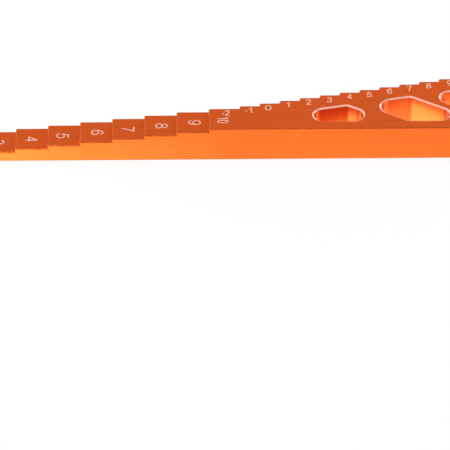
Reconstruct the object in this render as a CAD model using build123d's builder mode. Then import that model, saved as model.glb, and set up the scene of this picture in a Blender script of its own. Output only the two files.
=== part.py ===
from build123d import *
import os
from math import atan2, cos, degrees, radians, sin

# Step gauge: one bar of aluminium that lies on its flat underside.
# +X runs from the thin tip to the wide end, the straight front face looks to -Y, and +Z is up.
# The origin is at the middle of the bounding box, on the underside.

# Ride height scale: steps along the bar, each as thick as its number
ride_first = 3
ride_last = 10
ride_pitch = 8.0

# Droop scale: steps across the bar, each as wide as its number counted from the zero width
droop_first = -2
droop_last = 10
droop_pitch = 5.0
droop_zero_width = 10.0

# The thickest ride step is also the narrowest droop step, and has a length of its own
shared_length = 7.7
step_rise = 1.0

# Openings in the wide end: a front rail, a sloping rim under the steps and two leaning struts
rail_width = 3.0
rim_width = 4.4
end_wall = 3.0
strut_width = 2.4
strut_lean = 30.0
first_strut_foot = 44.6
second_strut_foot = 66.0

# Corner rounds of the openings, in plan
tip_round = 2.3
shoulder_round = 2.7
narrow_round = 2.15
peak_round = 2.0
corner_round = 1.5

# Edge finish
step_corner_round = 0.4
edge_break = 0.25
opening_chamfer_width = 0.4
opening_chamfer_depth = 0.3

# Sizes that follow from the driving ones
thickness = ride_last * step_rise
ride_steps = ride_last - ride_first
droop_steps = droop_last - droop_first
narrow_width = droop_zero_width + droop_first * step_rise
wide_width = droop_zero_width + droop_last * step_rise
length = ride_steps * ride_pitch + shared_length + droop_steps * droop_pitch
left = -length / 2
right = length / 2
front = -wide_width / 2
shared_left = left + ride_steps * ride_pitch
shared_right = shared_left + shared_length


# A straight side of an opening is (across, along, reach): the points with
# across * x + along * y = reach, where (across, along) looks into the opening
def side_through(point, heading, to_left=True):
    turn = 90 if to_left else -90
    across = cos(radians(heading + turn))
    along = sin(radians(heading + turn))
    return across, along, across * point[0] + along * point[1]


def moved_in(side, distance):
    across, along, reach = side
    return across, along, reach + distance


def crossing(side_a, side_b):
    ax, ay, a = side_a
    bx, by, b = side_b
    scale = ax * by - ay * bx
    return (a * by - b * ay) / scale, (ax * b - bx * a) / scale


# Outline seen from above: a straight front and the droop steps at the back
plan_points = [(left, front), (right, front)]
for step in reversed(range(droop_steps)):
    step_left = shared_right + step * droop_pitch
    step_back = front + narrow_width + (step + 1) * step_rise
    plan_points += [(step_left + droop_pitch, step_back), (step_left, step_back)]
plan_points += [(shared_right, front + narrow_width), (left, front + narrow_width)]

# Outline seen from the front: a flat underside and the ride height steps on top
side_points = [(right, 0), (left, 0)]
for step in range(ride_steps):
    step_left = left + step * ride_pitch
    step_top = (ride_first + step) * step_rise
    side_points += [(step_left, step_top), (step_left + ride_pitch, step_top)]
side_points += [(shared_left, thickness), (right, thickness)]

# The straight sides that bound the openings
rise_angle = degrees(atan2(step_rise, droop_pitch))
inner_step_corner = (shared_right, front + narrow_width)
rail = side_through((0, front + rail_width), 0)
rim = moved_in(side_through(inner_step_corner, rise_angle, to_left=False), rim_width)
strut_1_foot = (shared_left + first_strut_foot, front + rail_width)
strut_1_near = side_through(strut_1_foot, -strut_lean, to_left=False)
strut_1_far = moved_in(side_through(strut_1_foot, -strut_lean), strut_width)
strut_2_foot = (shared_left + second_strut_foot, front + rail_width)
strut_2_near = side_through(strut_2_foot, -strut_lean, to_left=False)
strut_2_far = moved_in(side_through(strut_2_foot, -strut_lean), strut_width)
end = side_through((right - end_wall, 0), 90)

# Each opening goes round its corners: the two sides that meet there and the round between them
openings = [
    [(rail, rim, tip_round), (rim, strut_1_near, peak_round), (strut_1_near, rail, tip_round)],
    [
        (strut_1_far, rim, shoulder_round),
        (rim, strut_2_near, peak_round),
        (strut_2_near, rail, tip_round),
        (rail, strut_1_far, corner_round),
    ],
    [(strut_2_far, rim, narrow_round), (rim, end, corner_round), (end, strut_2_far, corner_round)],
]

with BuildPart() as gauge_bar:
    with BuildSketch(Plane.XY):
        with BuildLine():
            Polyline(*plan_points, close=True)
        make_face()
    extrude(amount=thickness)

    # Cutter rounds in the inner corners of the droop steps
    upright_edges = gauge_bar.edges().filter_by(Axis.Z)
    fillet(upright_edges.filter_by(lambda edge: edge.is_interior), radius=step_corner_round)

    with BuildSketch(Plane.XZ.offset(-front)):
        with BuildLine():
            Polyline(*side_points, close=True)
        make_face()
    extrude(amount=-wide_width, mode=Mode.INTERSECT)

    # Broken outer edges, on both broad faces, on every ride step and up the outer corners
    chamfer(gauge_bar.edges().filter_by(lambda edge: not edge.is_interior), length=edge_break)

    for corners in openings:
        with BuildSketch(Plane.XY):
            with BuildLine():
                points = [crossing(side_a, side_b) for side_a, side_b, _ in corners]
                FilletPolyline(*points, radius=[corner[2] for corner in corners], close=True)
            make_face()
        extrude(amount=thickness, mode=Mode.SUBTRACT)
        mouth_edges = gauge_bar.edges(Select.LAST).filter_by(Axis.Z, reverse=True).group_by(Axis.Z)
        underside = gauge_bar.faces().sort_by(Axis.Z)[0]
        chamfer(mouth_edges[0], opening_chamfer_width, opening_chamfer_depth, reference=underside)
        upper_face = gauge_bar.faces().sort_by(Axis.Z)[-1]
        chamfer(mouth_edges[-1], opening_chamfer_width, opening_chamfer_depth, reference=upper_face)
gauge_bar.part.label = "gauge_bar"

os.makedirs("parts", exist_ok=True)
export_step(gauge_bar.part, "parts/gauge_bar.step")
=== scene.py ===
import bpy
import math
from mathutils import Matrix, Quaternion, Vector


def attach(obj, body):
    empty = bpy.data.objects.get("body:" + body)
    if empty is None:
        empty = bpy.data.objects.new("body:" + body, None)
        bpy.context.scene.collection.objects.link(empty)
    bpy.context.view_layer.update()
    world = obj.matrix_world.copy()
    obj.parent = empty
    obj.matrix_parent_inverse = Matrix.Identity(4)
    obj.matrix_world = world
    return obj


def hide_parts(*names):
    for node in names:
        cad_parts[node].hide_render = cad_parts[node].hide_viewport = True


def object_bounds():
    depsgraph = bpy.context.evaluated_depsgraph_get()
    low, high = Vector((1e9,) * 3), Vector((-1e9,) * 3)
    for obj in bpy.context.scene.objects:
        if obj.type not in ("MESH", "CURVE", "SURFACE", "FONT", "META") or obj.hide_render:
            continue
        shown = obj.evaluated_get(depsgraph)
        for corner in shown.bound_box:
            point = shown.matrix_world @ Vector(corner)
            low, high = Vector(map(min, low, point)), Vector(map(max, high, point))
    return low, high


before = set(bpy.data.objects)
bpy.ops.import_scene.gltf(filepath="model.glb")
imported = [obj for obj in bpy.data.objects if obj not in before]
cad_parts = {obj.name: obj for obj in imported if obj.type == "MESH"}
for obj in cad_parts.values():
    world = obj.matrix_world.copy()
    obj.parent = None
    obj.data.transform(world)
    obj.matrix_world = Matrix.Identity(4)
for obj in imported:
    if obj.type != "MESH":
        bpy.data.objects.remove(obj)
cadLow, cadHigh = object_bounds()
mm = 0.001
print("frame loaded")

# Camera at the photograph's viewing angle
cameraSetup = {
    "place": (-12.235, -768.949, 654.157),  # mm
    "turn": (48.31986, -0.07357, -0.71700),  # degrees
    "lens": 322.754,
    "sensor": 36.0,
}
bpy.ops.object.camera_add(
    location=[value * mm for value in cameraSetup["place"]],
    rotation=[math.radians(value) for value in cameraSetup["turn"]],
)
camera = bpy.context.object
camera.name = "photo_camera"
camera.data.lens = cameraSetup["lens"]
camera.data.sensor_width = cameraSetup["sensor"]
bpy.context.scene.camera = camera
print("camera placed")

# The two scales, as they are cut in the solid, in mm
scales = {
    "rideFirst": 3,
    "rideLast": 10,
    "ridePitch": 8.0,
    "sharedLength": 7.7,  # the step that carries both 10 and -2
    "droopFirst": -2,
    "droopLast": 10,
    "zeroWidth": 10.0,
    "stepRise": 1.0,
    "openingChamfer": 0.3,  # depth, and the outer edges are broken by less
}
barLeft = cadLow.x / mm
barFront = cadLow.y / mm
barThickness = cadHigh.z / mm
sharedLeft = barLeft + (scales["rideLast"] - scales["rideFirst"]) * scales["ridePitch"]
sharedRight = sharedLeft + scales["sharedLength"]


def makeActive(*pieces):
    bpy.ops.object.select_all(action="DESELECT")
    for piece in pieces:
        piece.select_set(True)
    bpy.context.view_layer.objects.active = pieces[0]


def scaled(colour, share):
    return tuple(min(1.0, channel * share) for channel in colour)


class Shading:  # builds the nodes of one material
    def __init__(self, name):
        self.material = bpy.data.materials.new(name)
        self.material.use_nodes = True
        self.tree = self.material.node_tree
        self.shader = self.tree.nodes["Principled BSDF"]
        self.where = self.add("ShaderNodeTexCoord").outputs["Object"]

    def add(self, kind, **settings):
        node = self.tree.nodes.new(kind)
        for key, value in settings.items():
            setattr(node, key, value)
        return node

    def link(self, source, target):
        self.tree.links.new(source, target)

    def noise(self, cells, detail, roughness=0.55, shift=(0, 0, 0)):
        # cells per mm along X, Y and Z; the shift is in cells and sets two patterns apart
        placing = self.add("ShaderNodeMapping")
        placing.inputs["Scale"].default_value = [count / mm for count in cells]
        placing.inputs["Location"].default_value = shift
        self.link(self.where, placing.inputs["Vector"])
        noise = self.add("ShaderNodeTexNoise")
        noise.inputs["Scale"].default_value = 1.0
        noise.inputs["Detail"].default_value = detail
        noise.inputs["Roughness"].default_value = roughness
        self.link(placing.outputs["Vector"], noise.inputs["Vector"])
        return noise.outputs["Fac"]

    def ramp(self, value, stops):
        ramp = self.add("ShaderNodeValToRGB")
        elements = ramp.color_ramp.elements
        while len(elements) < len(stops):
            elements.new(0.5)
        for element, (place, colour) in zip(elements, stops):
            element.position = place
            element.color = (*colour, 1.0)
        self.link(value, ramp.inputs["Fac"])
        return ramp.outputs["Color"]

    def tones(self, value, colour, stops):
        # one colour made darker and lighter, from places on the ramp and shares of the colour
        return self.ramp(value, [(place, scaled(colour, share)) for place, share in stops])

    def remap(self, value, low, high, fromLow=0.3, fromHigh=0.7):
        remap = self.add("ShaderNodeMapRange")
        remap.inputs["From Min"].default_value = fromLow
        remap.inputs["From Max"].default_value = fromHigh
        remap.inputs["To Min"].default_value = low
        remap.inputs["To Max"].default_value = high
        self.link(value, remap.inputs["Value"])
        return remap.outputs["Result"]

    def mix(self, factor, first, second):
        mixer = self.add("ShaderNodeMix", data_type="RGBA")
        mixer.inputs["Factor"].default_value = factor
        self.link(first, mixer.inputs["A"])
        self.link(second, mixer.inputs["B"])
        return mixer.outputs["Result"]

    def markAt(self, paintedShade, shadeColour, colour):
        # painted shade: an upright dark line through the given place, that fades between its two
        # widths
        flat = self.add("ShaderNodeVectorMath", operation="MULTIPLY")
        flat.inputs[1].default_value = (1, 1, 0)
        self.link(self.where, flat.inputs[0])
        distance = self.add("ShaderNodeVectorMath", operation="DISTANCE")
        distance.inputs[1].default_value = (paintedShade["place"][0] * mm, paintedShade["place"][1] * mm, 0)
        self.link(flat.outputs[0], distance.inputs[0])
        inner, outer = paintedShade["widths"]
        share = self.remap(distance.outputs["Value"], paintedShade["stays"], 1.0, inner * mm, outer * mm)
        mixer = self.add("ShaderNodeMix", data_type="RGBA")
        mixer.inputs["A"].default_value = (*shadeColour, 1.0)
        self.link(share, mixer.inputs["Factor"])
        self.link(colour, mixer.inputs["B"])
        return mixer.outputs["Result"]

    def relief(self, height, depth, strength):
        # depth in mm
        bump = self.add("ShaderNodeBump")
        bump.inputs["Strength"].default_value = strength
        bump.inputs["Distance"].default_value = depth * mm
        self.link(height, bump.inputs["Height"])
        self.link(bump.outputs["Normal"], self.shader.inputs["Normal"])

    def finish(self, colour, roughness, metallic=0.0):
        self.link(colour, self.shader.inputs["Base Color"])
        self.link(roughness, self.shader.inputs["Roughness"])
        self.shader.inputs["Metallic"].default_value = metallic


# Brushed and anodised broad faces, brushed along the bar
brushing = {
    "dye": (0.83, 0.12, 0.013),
    "fineCells": (0.03, 6.0, 6.0),
    "wideCells": (0.012, 1.3, 1.3),
    "cloudCells": (0.05, 0.08, 0.08),
    "fineTones": [(0.30, 0.86), (0.50, 1.0), (0.72, 1.14)],
    "wideTones": [(0.30, 0.91), (0.70, 1.09)],
    "cloudTones": [(0.30, 0.95), (0.70, 1.05)],
    "wideShare": 0.5,
    "cloudShare": 0.3,
    "roughness": (0.36, 0.48),
    "relief": (0.01, 0.5),
    "metallic": 0.9,
}
anodised = Shading("anodised_brushed")
fineLines = anodised.noise(brushing["fineCells"], detail=4.0)
wideLines = anodised.noise(brushing["wideCells"], detail=2.0, shift=(3.1, 2.17, 4.03))
clouds = anodised.noise(brushing["cloudCells"], detail=2.0, shift=(7.7, 5.39, 10.01))
fineTone = anodised.tones(fineLines, brushing["dye"], brushing["fineTones"])
wideTone = anodised.tones(wideLines, brushing["dye"], brushing["wideTones"])
cloudTone = anodised.tones(clouds, brushing["dye"], brushing["cloudTones"])
lineTone = anodised.mix(brushing["wideShare"], fineTone, wideTone)
anodised.finish(
    anodised.mix(brushing["cloudShare"], lineTone, cloudTone),
    anodised.remap(fineLines, *brushing["roughness"]),
    brushing["metallic"],
)
anodised.relief(fineLines, *brushing["relief"])

# Walls left by the end mill: faint streaks that run up the wall,
# and painted shade, a darker line where a strut's wall turns into the round tip
milledWallsAndShade = {
    "dye": (0.68, 0.125, 0.015),
    "cells": (2.2, 2.2, 0.05),
    "tones": [(0.30, 0.97), (0.50, 1.0), (0.70, 1.03)],
    "roughness": (0.29, 0.35),
    "relief": (0.006, 0.5),
    "metallic": 0.9,
    # painted shade in the corner where each strut's wall turns into its round tip
    "paintedShadeColour": (0.36, 0.030, 0.001),
    "paintedShades": [  # place in X and Y and the two widths, in mm, and how much of the wall's tone stays
        {"place": (31.3, -2.7), "widths": (0.12, 0.45), "stays": 0.3},
        {"place": (52.95, -2.84), "widths": (0.18, 0.40), "stays": 0.0},
        {"place": (53.65, -3.7), "widths": (0.75, 1.05), "stays": 0.45},
    ],
}
milledAndShadedWalls = Shading("anodised_milled")
streaks = milledAndShadedWalls.noise(milledWallsAndShade["cells"], detail=2.0)
wallTone = milledAndShadedWalls.tones(streaks, milledWallsAndShade["dye"], milledWallsAndShade["tones"])
# each line of painted shade darkens the wall's tone around its place
for paintedShade in milledWallsAndShade["paintedShades"]:
    wallTone = milledAndShadedWalls.markAt(paintedShade, milledWallsAndShade["paintedShadeColour"], wallTone)
milledAndShadedWalls.finish(wallTone, milledAndShadedWalls.remap(streaks, *milledWallsAndShade["roughness"]), milledWallsAndShade["metallic"])
milledAndShadedWalls.relief(streaks, *milledWallsAndShade["relief"])

# Broken outer edges: painted shade in darker dashes, with the dye rubbed through in a few small
# spots
edgeDye = (0.56, 0.112, 0.016)
edgeWearAndShade = {
    "cells": (0.9, 0.9, 0.9),
    "stops": [
        # painted shade: the darkest stop gives the dark dashes along the edges
        (0.36, (0.36, 0.042, 0.006)),  # dark dashes
        (0.46, scaled(edgeDye, 0.9)),
        (0.64, edgeDye),
        (0.76, (0.78, 0.32, 0.10)),  # rubbed spots
    ],
    "roughness": (0.62, 0.50),
    "metallic": 0.9,
}
wornAndShadedEdge = Shading("anodised_edge")
dashes = wornAndShadedEdge.noise(edgeWearAndShade["cells"], detail=3.0, roughness=0.7)
wornAndShadedEdge.finish(
    wornAndShadedEdge.ramp(dashes, edgeWearAndShade["stops"]),
    wornAndShadedEdge.remap(dashes, *edgeWearAndShade["roughness"]),
    edgeWearAndShade["metallic"],
)

# Chamfers of the openings, cut after the dyeing, so bare and bright
bareCut = {
    "metal": (0.90, 0.465, 0.37),
    "cells": (0.5, 0.5, 9.0),
    "tones": [(0.30, 0.93), (0.55, 1.0), (0.75, 1.04)],
    "roughness": (0.44, 0.54),
    "relief": (0.003, 0.3),
    "metallic": 1.0,
}
bright = Shading("bare_chamfer")
turning = bright.noise(bareCut["cells"], detail=2.0)
bright.finish(
    bright.tones(turning, bareCut["metal"], bareCut["tones"]),
    bright.remap(turning, *bareCut["roughness"]),
    bareCut["metallic"],
)
bright.relief(turning, *bareCut["relief"])

# Engraved numbers, with a chalky white fill
chalk = {
    "white": (0.87, 0.50, 0.37),
    "cells": (9.0, 9.0, 9.0),
    "tones": [(0.30, 0.93), (0.60, 1.0)],
    "roughness": (0.55, 0.75),
    "relief": (0.01, 0.4),
}
fill = Shading("engraved_white")
grains = fill.noise(chalk["cells"], detail=3.0)
fill.finish(
    fill.tones(grains, chalk["white"], chalk["tones"]),
    fill.remap(grains, *chalk["roughness"]),
)
fill.relief(grains, *chalk["relief"])
print("materials made")

# The bar is a copy of the solid's surface, with a finish for each kind of face
barPlan = {
    "name": "dressed_gauge_bar",
    "mergeGap": 0.001,  # mm
    "flatAngle": 0.5,  # degrees, below which two faces count as one
    "smoothAngle": 28,  # degrees
    "levelFrom": 0.95,  # how much of a face's normal is upright: on a broad face or a step
    "slopingFrom": 0.3,  # and on a chamfer
    "cornerFrom": 0.5,  # how much runs along X and along Y on a broken upright corner
    "cornerArea": 3.0,  # mm2, the most that such a corner has
    "straightFrom": 0.9,  # how much runs along Y on the straight front and back
    "slack": 0.02,  # mm
    "frontSlack": 0.1,  # mm
}
finishes = [anodised, milledAndShadedWalls, wornAndShadedEdge, bright]
brushedSlot, milledSlot, edgeSlot, brightSlot = range(len(finishes))


def copyOfNode(nodeName, pieceName):
    piece = bpy.data.objects.new(pieceName, bpy.data.objects[nodeName].data.copy())
    bpy.context.collection.objects.link(piece)
    makeActive(piece)
    bpy.ops.object.mode_set(mode="EDIT")
    bpy.ops.mesh.select_all(action="SELECT")
    bpy.ops.mesh.remove_doubles(threshold=barPlan["mergeGap"] * mm)
    bpy.ops.mesh.dissolve_limited(angle_limit=math.radians(barPlan["flatAngle"]))
    bpy.ops.object.mode_set(mode="OBJECT")
    return piece


def isChamferDepth(height):
    return abs(height - scales["openingChamfer"]) < barPlan["slack"]


def finishOfFace(piece, face):
    heights = [piece.data.vertices[index].co.z / mm for index in face.vertices]
    lowest, highest = min(heights), max(heights)
    across, along, upright = face.normal
    if abs(upright) > barPlan["levelFrom"]:
        return brushedSlot
    if abs(upright) > barPlan["slopingFrom"]:
        return brightSlot if isChamferDepth(highest - lowest) else edgeSlot
    isCorner = min(abs(across), abs(along)) > barPlan["cornerFrom"]
    isSmall = face.area < barPlan["cornerArea"] * mm**2
    if isCorner and isSmall and not isChamferDepth(lowest):
        return edgeSlot
    if along < -barPlan["straightFrom"] and face.center.y / mm < barFront + barPlan["frontSlack"]:
        return brushedSlot  # straight front face
    if along > barPlan["straightFrom"] and face.center.x / mm < sharedRight:
        return brushedSlot  # straight back of the ride height steps
    return milledSlot


bar = copyOfNode("gauge_bar", barPlan["name"])
bar.data.materials.clear()
for shading in finishes:
    bar.data.materials.append(shading.material)
for face in bar.data.polygons:
    face.material_index = finishOfFace(bar, face)
print("bar dressed:", len(bar.data.polygons), "faces")

numbers = {  # mm
    "grooveDepth": 0.08,
    "rideHeight": 3.15,
    "rideWidth": 1.95,
    "rideStroke": 0.33,
    "rideFromFront": 3.85,
    "tenHeight": 2.95,
    "tenWidth": 1.2,
    "tenStroke": 0.9,  # share of the other ride height numbers' stroke
    "tenMiddle": 3.47,  # from the left end of the shared step
    "tenFromFront": {"1": 4.30, "0": 3.0},
    "droopHeight": 2.1,
    "droopWidth": 1.3,
    "droopZeroWidth": 1.62,
    "droopStroke": 0.30,
    "droopFromStep": 1.74,  # from the stepped edge to the middle of the number
    "undersideFromStep": 2.13,
    "lowered": {0: 0.12, 3: 0.2, 5: 0.27},  # top numbers a little further from their step
    "digitPitch": 1.35,
    "dashWidth": 0.62,
    "dashShift": -1.05,
    "undersideDashShift": 1.3,
}
# Places of the numbers along the bar, in mm from the left end of the shared step
rideMiddles = {3: -52.41, 4: -44.09, 5: -36.33, 6: -27.72, 7: -20.05, 8: -11.73, 9: -3.59}
topMiddles = {
    -2: 4.6, -1: 10.33, 0: 14.76, 1: 19.73, 2: 24.83, 3: 30.1, 4: 35.1,
    5: 40.07, 6: 45.16, 7: 50.18, 8: 55.0, 9: 60.32, 10: 65.1,
}
undersideMiddles = {
    -2: 4.18, -1: 9.82, 0: 15.33, 1: 20.6, 2: 25.41, 3: 30.31, 4: 35.53,
    5: 40.63, 6: 45.64, 7: 50.54, 8: 55.66, 9: 60.5, 10: 65.4,
}


def arc(middle, radii, start, end, parts):
    # degrees, and clockwise where end is below start
    points = []
    for index in range(parts + 1):
        angle = math.radians(start + (end - start) * index / parts)
        x = middle[0] + radii[0] * math.cos(angle)
        y = middle[1] + radii[1] * math.sin(angle)
        points.append((x, y))
    return points


# Middle lines of the strokes, in a box from 0 to 1 both ways
sixStrokes = [
    arc((0.5, 0.31), (0.5, 0.31), 180, 540, 28),
    arc((0.54, 0.60), (0.46, 0.40), 32, 150, 12) + [(0.03, 0.62), (0.0, 0.44), (0.0, 0.31)],
]
strokesOf = {
    "0": [arc((0.5, 0.5), (0.5, 0.5), 0, 360, 32)],
    "1": [[(0.26, 0.74), (0.48, 0.83), (0.65, 0.93), (0.74, 1.0), (0.74, 0.0)]],
    "2": [
        arc((0.49, 0.73), (0.45, 0.27), 172, -28, 18)
        + [(0.62, 0.38), (0.25, 0.16), (0.02, 0.0), (1.0, 0.0)],
    ],
    "3": [
        arc((0.47, 0.76), (0.41, 0.24), 160, -90, 18),
        arc((0.47, 0.26), (0.51, 0.26), 90, -165, 18),
    ],
    "4": [[(0.75, 0.0), (0.75, 1.0), (0.0, 0.29), (1.0, 0.29)]],
    "5": [
        [(0.90, 1.0), (0.25, 1.0), (0.08, 0.47)]
        + arc((0.48, 0.325), (0.52, 0.325), 128, -160, 20),
    ],
    "6": sixStrokes,
    "7": [[(0.0, 1.0), (1.0, 1.0), (0.70, 0.66), (0.48, 0.33), (0.38, 0.0)]],
    "8": [
        arc((0.5, 0.765), (0.41, 0.235), 270, 630, 26),
        arc((0.5, 0.265), (0.5, 0.265), 90, 450, 28),
    ],
    "9": [[(1 - x, 1 - y) for x, y in stroke] for stroke in sixStrokes],
    "-": [[(0.0, 0.36), (1.0, 0.36)]],
}

# The cutter of a character is a round wire along its strokes,
# sunk into the face by the depth of the groove
wire = {
    "bevelSteps": 4,
    "sharpCorner": 40,  # degrees, where a stroke is cut apart
    "endTurns": (30, 55, 75),  # degrees round the end of a stroke
    "closedGap": 0.01,  # mm between the ends of a stroke that closes on itself
    "crossingLift": 0.004,  # mm, so that strokes that cross never lie exactly level
    "mergeGap": 0.0005,  # mm
}
cutters = []


def roundedEnds(points, radius):
    # tapers a stroke over its last points, so that the groove ends round
    turns = [math.radians(turn) for turn in wire["endTurns"]]
    stroke = [(point, 1.0) for point in points]
    for ahead, behind, atEnd in ((points[0], points[1], False), (points[-1], points[-2], True)):
        out = (Vector(ahead) - Vector(behind)).normalized()
        for turn in turns:
            extra = (tuple(Vector(ahead) + out * radius * math.sin(turn)), math.cos(turn))
            if atEnd:
                stroke.append(extra)
            else:
                stroke.insert(0, extra)
    return stroke


def runsOf(character, inner):
    # the strokes at their size, cut apart at each sharp corner
    runs = []
    for points in strokesOf[character]:
        placed = [((x - 0.5) * inner[0], (y - 0.5) * inner[1]) for x, y in points]
        run = placed[:2]
        for before, corner, after in zip(placed, placed[1:], placed[2:]):
            turn = (Vector(corner) - Vector(before)).angle(Vector(after) - Vector(corner))
            if turn > math.radians(wire["sharpCorner"]):
                runs.append(run)
                run = [corner]
            run.append(after)
        runs.append(run)
    return runs


def cutCharacter(character, size, stroke, centre, turn=0.0, fromBelow=False):
    # size is the outer width and height, and centre is on the face, all in mm
    depth = numbers["grooveDepth"]
    radius = ((stroke / 2) ** 2 + depth**2) / (2 * depth)
    lift = radius - depth
    inner = (size[0] - stroke, size[1] - stroke)
    bpy.ops.curve.primitive_bezier_curve_add()
    cutter = bpy.context.object
    curve = cutter.data
    curve.splines.clear()
    curve.dimensions = "3D"
    curve.bevel_depth = radius
    curve.bevel_resolution = wire["bevelSteps"]
    curve.use_fill_caps = True
    for order, points in enumerate(runsOf(character, inner)):
        closed = math.dist(points[0], points[-1]) < wire["closedGap"]
        if closed:
            line = [(point, 1.0) for point in points[:-1]]
        else:
            line = roundedEnds(points, stroke / 2)
        spline = curve.splines.new("POLY")
        spline.points.add(len(line) - 1)
        for point, ((x, y), thin) in zip(spline.points, line):
            point.co = (x, y, wire["crossingLift"] * order, 1)
            point.radius = thin
        spline.use_cyclic_u = closed
    bpy.ops.object.convert(target="MESH")
    place = Matrix.Translation(Vector(centre) + Vector((0, 0, -lift if fromBelow else lift)))
    if fromBelow:
        place = place @ Matrix.Rotation(math.pi, 4, "Y")
    place = place @ Matrix.Rotation(math.radians(turn), 4, "Z")
    cutter.data.transform(Matrix.Scale(mm, 4) @ place)
    cutter.matrix_world = Matrix.Identity(4)
    cutter.data.materials.append(fill.material)
    cutters.append(cutter)


def cutDroopNumber(number, middle, fromBelow):
    fromStep = numbers["undersideFromStep"] if fromBelow else numbers["droopFromStep"]
    height = 0.0 if fromBelow else barThickness
    stepEdge = barFront + scales["zeroWidth"] + number * scales["stepRise"]
    centreY = stepEdge - fromStep - (0 if fromBelow else numbers["lowered"].get(number, 0))
    width = numbers["droopZeroWidth"] if number == 0 else numbers["droopWidth"]
    digits = str(abs(number))
    side = -1 if fromBelow else 1  # the numbers on the underside run the other way
    for index, digit in enumerate(digits):
        shift = side * (index - (len(digits) - 1) / 2) * numbers["digitPitch"]
        cutCharacter(
            digit,
            (width, numbers["droopHeight"]),
            numbers["droopStroke"],
            (middle + shift, centreY, height),
            fromBelow=fromBelow,
        )
    if number < 0:
        dashShift = numbers["undersideDashShift"] if fromBelow else numbers["dashShift"]
        cutCharacter(
            "-",
            (numbers["dashWidth"], numbers["droopHeight"]),
            numbers["droopStroke"],
            (middle + dashShift, centreY, height),
            fromBelow=fromBelow,
        )


# The ride height numbers are turned, so that their feet point to the left end
for number, middle in rideMiddles.items():
    cutCharacter(
        str(number),
        (numbers["rideWidth"], numbers["rideHeight"]),
        numbers["rideStroke"],
        (sharedLeft + middle, barFront + numbers["rideFromFront"], number * scales["stepRise"]),
        turn=-90,
    )
for digit, fromFront in numbers["tenFromFront"].items():
    cutCharacter(
        digit,
        (numbers["tenWidth"], numbers["tenHeight"]),
        numbers["rideStroke"] * numbers["tenStroke"],
        (sharedLeft + numbers["tenMiddle"], barFront + fromFront, barThickness),
        turn=-90,
    )
for number in range(scales["droopFirst"], scales["droopLast"] + 1):
    cutDroopNumber(number, sharedLeft + topMiddles[number], False)
    cutDroopNumber(number, sharedLeft + undersideMiddles[number], True)

makeActive(*cutters)
bpy.ops.object.join()
cutter = bpy.context.object
bpy.ops.object.mode_set(mode="EDIT")
bpy.ops.mesh.select_all(action="SELECT")
bpy.ops.mesh.remove_doubles(threshold=wire["mergeGap"] * mm)  # closes the caps
bpy.ops.mesh.normals_make_consistent(inside=False)
bpy.ops.object.mode_set(mode="OBJECT")
print("number cutters made:", len(cutter.data.polygons), "faces")

makeActive(bar)
engrave = bar.modifiers.new("engrave", "BOOLEAN")
engrave.operation = "DIFFERENCE"
engrave.solver = "EXACT"
engrave.use_self = True
engrave.material_mode = "TRANSFER"
engrave.object = cutter
bpy.ops.object.modifier_apply(modifier="engrave")
bpy.data.objects.remove(cutter, do_unlink=True)
bpy.ops.object.mode_set(mode="EDIT")
bpy.ops.mesh.select_all(action="SELECT")
bpy.ops.mesh.dissolve_degenerate(threshold=wire["mergeGap"] * mm)
bpy.ops.object.mode_set(mode="OBJECT")
bpy.ops.object.shade_smooth_by_angle(angle=math.radians(barPlan["smoothAngle"]))
print("numbers engraved:", len(bar.data.polygons), "faces")


def isSharp(first, second):
    # a brushed face stays flat right up to its edges and to the grooves in it
    if first.material_index != second.material_index:
        return True
    if first.material_index != brushedSlot:
        return False
    return first.normal.angle(second.normal) > math.radians(barPlan["flatAngle"])


facesAt = {}
for face in bar.data.polygons:
    for key in face.edge_keys:
        facesAt.setdefault(key, []).append(face)
for edge in bar.data.edges:
    if isSharp(*facesAt[edge.key]):
        edge.use_edge_sharp = True
steady = bar.modifiers.new("steady_normals", "WEIGHTED_NORMAL")
steady.keep_sharp = True
bpy.ops.object.modifier_apply(modifier="steady_normals")

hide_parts("gauge_bar")
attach(bar, "root")
print("bar finished")

staging = {
    "floorSize": 6.0,  # m
    "floorColour": (0.95, 0.95, 0.95),
    "floorRoughness": 0.9,
    "floorGap": 0.02,  # mm under the gauge, so that the two flat faces never flicker
    "floorGlow": 0.90,  # share of plain white that the camera and reflections see
    "worldStrength": 0.55,
}
bpy.ops.mesh.primitive_plane_add(
    size=staging["floorSize"], location=(0, 0, -staging["floorGap"] * mm)
)
floor = bpy.context.object
floor.name = "floor"
floorShade = Shading("floor_white")
floorShade.shader.inputs["Roughness"].default_value = staging["floorRoughness"]
floorShade.shader.inputs["Base Color"].default_value = (*staging["floorColour"], 1)
rays = floorShade.add("ShaderNodeLightPath")
anyView = floorShade.add("ShaderNodeMath", operation="MAXIMUM")
seen = floorShade.add("ShaderNodeMath", operation="MAXIMUM")
floorShade.link(rays.outputs["Is Camera Ray"], anyView.inputs[0])
floorShade.link(rays.outputs["Is Glossy Ray"], anyView.inputs[1])
floorShade.link(anyView.outputs[0], seen.inputs[0])
floorShade.link(rays.outputs["Is Transmission Ray"], seen.inputs[1])
glow = floorShade.add("ShaderNodeEmission")
share = floorShade.add("ShaderNodeMath", operation="MULTIPLY")
share.inputs[1].default_value = staging["floorGlow"]
floorShade.link(seen.outputs[0], share.inputs[0])
blend = floorShade.add("ShaderNodeMixShader")
floorShade.link(share.outputs[0], blend.inputs[0])
floorShade.link(floorShade.shader.outputs[0], blend.inputs[1])
floorShade.link(glow.outputs[0], blend.inputs[2])
# Seen from below, the floor is clear and shows the numbers on the underside
fromBelow = floorShade.add("ShaderNodeNewGeometry").outputs["Backfacing"]
clear = floorShade.add("ShaderNodeBsdfTransparent")
blendBelow = floorShade.add("ShaderNodeMixShader")
floorShade.link(fromBelow, blendBelow.inputs[0])
floorShade.link(blend.outputs[0], blendBelow.inputs[1])
floorShade.link(clear.outputs[0], blendBelow.inputs[2])
floorOutput = floorShade.tree.nodes["Material Output"]
floorShade.link(blendBelow.outputs[0], floorOutput.inputs["Surface"])
floor.data.materials.append(floorShade.material)

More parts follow.
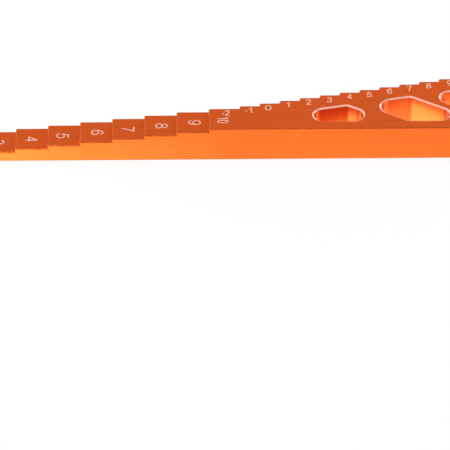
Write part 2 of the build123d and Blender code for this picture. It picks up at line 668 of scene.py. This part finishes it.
# The camera sees a white world, and the gauge is lit by a dimmer one
world = bpy.data.worlds.new("studio")
bpy.context.scene.world = world
world.use_nodes = True
worldTree = world.node_tree
background = worldTree.nodes["Background"]
worldRays = worldTree.nodes.new("ShaderNodeLightPath")
worldMix = worldTree.nodes.new("ShaderNodeMapRange")
worldMix.inputs["To Min"].default_value = staging["worldStrength"]
worldMix.inputs["To Max"].default_value = 1.0
worldTree.links.new(worldRays.outputs["Is Camera Ray"], worldMix.inputs["Value"])
worldTree.links.new(worldMix.outputs["Result"], background.inputs["Strength"])
background.inputs["Color"].default_value = (1, 1, 1, 1)

# Rectangular lamps, in m and degrees. One without a direction looks at the origin.
# A level is how bright the lamp looks in a mirror, where 1 is white; the others have watts.
layer = 0.05 * mm  # lamps on the table lie in layers, none of them level with another
upward = (0, 0, 1)
towardStruts = (0.647, 0.373, 0.665)  # what the leaning struts reflect to the camera
lamps = {
    "overhead": {"place": (0.0, 0.1, 1.0), "size": (0.9, 0.9), "watts": 1.35},
    "high": {"place": (-0.05, -0.38, 0.92), "size": (0.6, 0.35), "watts": 1.5},
    "panelLeft": {"place": (-0.64, 0.75, 0.34), "size": (0.5, 0.3), "watts": 0.8},
    "softLeft": {"place": (-0.80, 0.15, 0.55), "size": (0.8, 0.5), "watts": 3.5},
    "panelRight": {"place": (0.64, 0.75, 0.24), "size": (0.75, 0.3), "watts": 4.3},
    "leftLow": {
        "place": (-0.085, -0.06, 0.006),
        "toward": (0.035, 0.06, 0),
        "size": (0.04, 0.01),
        "watts": 0.06,
    },
    "table": {"place": (0, 0, layer), "toward": upward, "size": (1.2, 1.2), "level": 0.60},
    "openings": {
        "place": (0.039, -0.001, 2 * layer),
        "toward": upward,
        "size": (0.046, 0.014),
        "level": 0.38,
    },
    "foot": {
        "place": (0, -0.0124, 3 * layer),
        "toward": upward,
        "size": (0.130, 0.0048),
        "level": 0.22,
    },
    "strut1": {
        "place": (0.0273, -0.0034, 0.0035),
        "toward": towardStruts,
        "roll": -22,
        "size": (0.0033, 0.0023),
        "spread": 60,
        "watts": 0.0000054,
    },
    "strut2": {
        "place": (0.0456, -0.0018, 0.0025),
        "toward": towardStruts,
        "roll": -24,
        "size": (0.0098, 0.0046),
        "spread": 60,
        "watts": 0.000044,
    },
    "endRound": {
        "place": (0.0524, 0.0029, 0.0078),
        "toward": (-0.48, -0.572, 0.665),
        "size": (0.0012, 0.0032),
        "level": 1.0,
    },
    "endOpening": {
        "place": (0.0562, -0.0002, 0.003),
        "toward": (-0.3, 0.55, 0.75),
        "size": (0.005, 0.004),
        "spread": 120,
        "watts": 0.00004,
    },
}
# Strips in front of the bar end one after the other,
# so that its front face grows brighter towards the left end
leftStrips = {
    "start": -0.12,
    "ends": (-0.048, -0.038, -0.0255, -0.0143, -0.0044),
    "fromFront": 0.0052,
    "width": 0.0116,
    "firstLayer": 4,
    "level": 0.25,
}
for order, stripEnd in enumerate(leftStrips["ends"]):
    stripHeight = (leftStrips["firstLayer"] + order) * layer
    stripMiddle = (leftStrips["start"] + stripEnd) / 2
    lamps["leftStrip%d" % order] = {
        "place": (stripMiddle, cadLow.y - leftStrips["fromFront"], stripHeight),
        "toward": upward,
        "size": (stripEnd - leftStrips["start"], leftStrips["width"]),
        "level": leftStrips["level"],
    }
for lampName, lamp in lamps.items():
    place = Vector(lamp["place"])
    toward = Vector(lamp["toward"]) if "toward" in lamp else -place
    roll = Quaternion((0, 0, 1), math.radians(lamp.get("roll", 0)))
    turn = toward.to_track_quat("-Z", "Y") @ roll
    bpy.ops.object.light_add(type="AREA", location=place, rotation=turn.to_euler())
    light = bpy.context.object
    light.name = "lamp_" + lampName
    light.data.shape = "RECTANGLE"
    light.data.size, light.data.size_y = lamp["size"]
    light.data.spread = math.radians(lamp.get("spread", 180))
    if "level" in lamp:
        light.data.energy = lamp["level"] * math.pi * lamp["size"][0] * lamp["size"][1]
    else:
        light.data.energy = lamp["watts"]
    light.visible_camera = False
print("stage and lamps set")

bpy.context.scene.view_settings.view_transform = "Standard"
